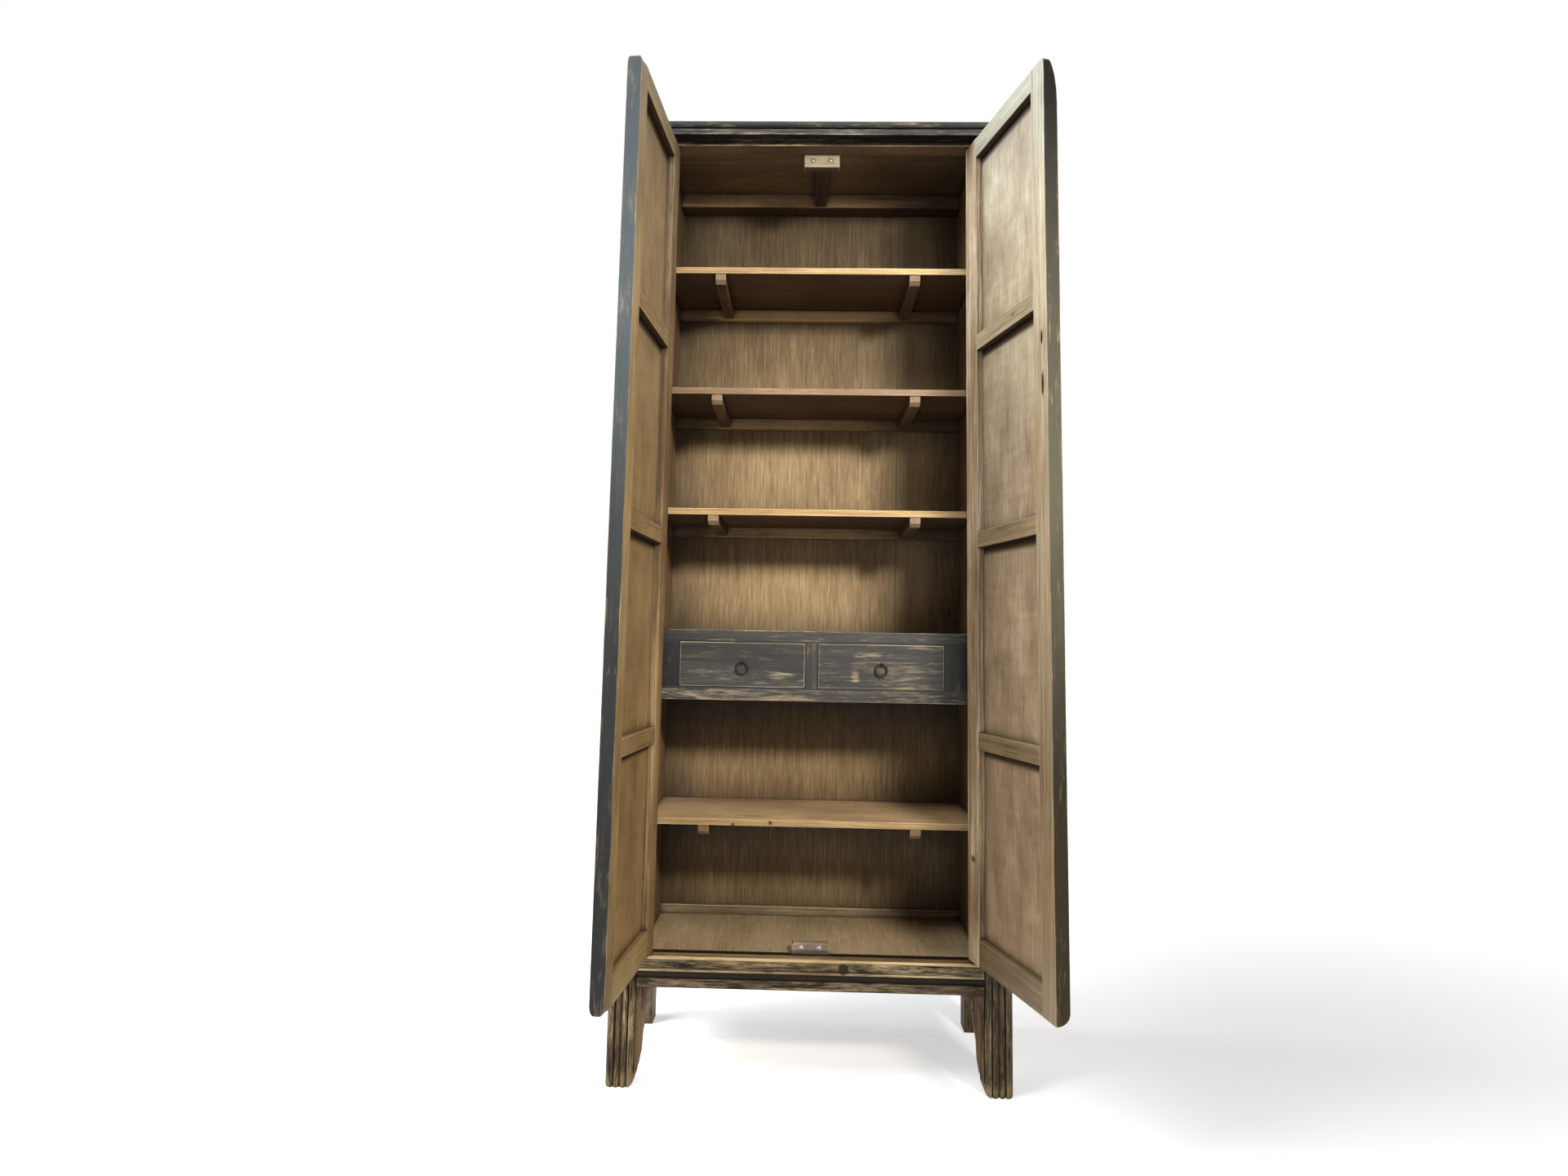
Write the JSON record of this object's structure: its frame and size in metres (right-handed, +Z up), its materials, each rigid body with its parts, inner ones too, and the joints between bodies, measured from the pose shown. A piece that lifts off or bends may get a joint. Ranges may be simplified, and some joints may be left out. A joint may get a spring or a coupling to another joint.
{
  "type": "tapered two-door cabinet",
  "caption": "Tall tapered wooden cabinet on plain legs, with panelled pivot doors, shelves, small drawers with ring pulls and a moulded cap.",
  "frame": {"origin": "on the floor, midway between the two sides and midway between the open doors' front edges and the back of the back posts", "axes": "+Z up, +Y from the doors towards the back panel, +X to the right as seen from the front"},
  "size_m": [0.8909, 0.7021, 2.1],
  "materials": {
    "frame_paint": "charcoal lacquer worn to bare wood along the edges, satin",
    "sill_wood": "bare wood with remains of charcoal lacquer, satin",
    "case_paint": "charcoal lacquer, rubbed at the corners, satin",
    "door_wood": "brown stained wood, rubbed, satin",
    "shelf_wood": "light brown wood, dry, matt",
    "inner_wood": "brown stained wood with a long streaked grain, matt",
    "block_wood": "pale raw wood, matt",
    "case_wood": "brown wood, dry, matt",
    "catch_metal": "plain steel, slightly dulled",
    "ring_iron": "blackened iron, dull"
  },
  "bodies": {
    "carcass": {"front_post_left": "frame_paint", "front_post_right": "frame_paint", "back_post_left": "frame_paint", "back_post_right": "frame_paint", "side_rails_left": "frame_paint", "side_rails_right": "frame_paint", "side_panel_left": "frame_paint", "side_panel_right": "frame_paint", "side_aprons": "frame_paint", "front_apron": "frame_paint", "leg_brackets": "frame_paint", "cap_front": "frame_paint", "cap_left": "frame_paint", "cap_right": "frame_paint", "cap_back": "frame_paint", "sill": "sill_wood", "head_rail": "sill_wood", "case_rails": "case_paint", "case_stiles": "case_paint", "shelf_1": "shelf_wood", "shelf_2": "shelf_wood", "shelf_3": "shelf_wood", "shelf_4": "shelf_wood", "shelf_battens": "shelf_wood", "floor_board": "shelf_wood", "back_cleats": "shelf_wood", "inner_wall_left": "inner_wood", "inner_wall_right": "inner_wood", "back_panel": "inner_wood", "back_rails": "inner_wood", "top_panel": "inner_wood", "ceiling_batten": "inner_wood", "ceiling_back_rail": "inner_wood", "lower_catch_block": "inner_wood", "upper_catch_block": "block_wood", "case_top_board": "case_wood", "case_bottom_board": "case_wood", "drawer_guides": "case_wood", "catches": "catch_metal"},
    "door_left": {"door_hinge_stile_left": "door_wood", "door_free_stile_left": "door_wood", "door_rails_left": "door_wood", "door_panels_left": "door_wood"},
    "door_right": {"door_hinge_stile_right": "door_wood", "door_free_stile_right": "door_wood", "door_rails_right": "door_wood", "door_panels_right": "door_wood"},
    "drawer_left": {"drawer_front_left": "case_paint", "drawer_sides_left": "case_wood", "drawer_back_left": "case_wood", "drawer_bottom_left": "case_wood", "ring_eye_left": "ring_iron"},
    "drawer_right": {"drawer_front_right": "case_paint", "drawer_sides_right": "case_wood", "drawer_back_right": "case_wood", "drawer_bottom_right": "case_wood", "ring_eye_right": "ring_iron"},
    "ring_left": {"ring_pull_left": "ring_iron"},
    "ring_right": {"ring_pull_right": "ring_iron"}
  },
  "joints": [
    {"name": "door_left_swing", "type": "hinge", "parent": "carcass", "child": "door_left", "pos_m": [-0.35258, -0.00048, 0.283], "axis": [-0.0103, 0, -0.9999], "range_deg": [-94.4, 15.6]},
    {"name": "door_right_swing", "type": "hinge", "parent": "carcass", "child": "door_right", "pos_m": [0.35258, -0.00048, 0.283], "axis": [-0.0103, 0, 0.9999], "range_deg": [-105, 5]},
    {"name": "drawer_left_slide", "type": "slide", "parent": "carcass", "child": "drawer_left", "axis": [0, -1, 0], "range_m": [0, 0.19]},
    {"name": "drawer_right_slide", "type": "slide", "parent": "carcass", "child": "drawer_right", "axis": [0, -1, 0], "range_m": [0, 0.19]},
    {"name": "ring_left_swing", "type": "hinge", "parent": "drawer_left", "child": "ring_left", "pos_m": [-0.161, 0.04052, 0.90375], "axis": [-1, 0, 0], "range_deg": [0, 95]},
    {"name": "ring_right_swing", "type": "hinge", "parent": "drawer_right", "child": "ring_right", "pos_m": [0.149, 0.04052, 0.90375], "axis": [-1, 0, 0], "range_deg": [0, 95]}
  ]
}
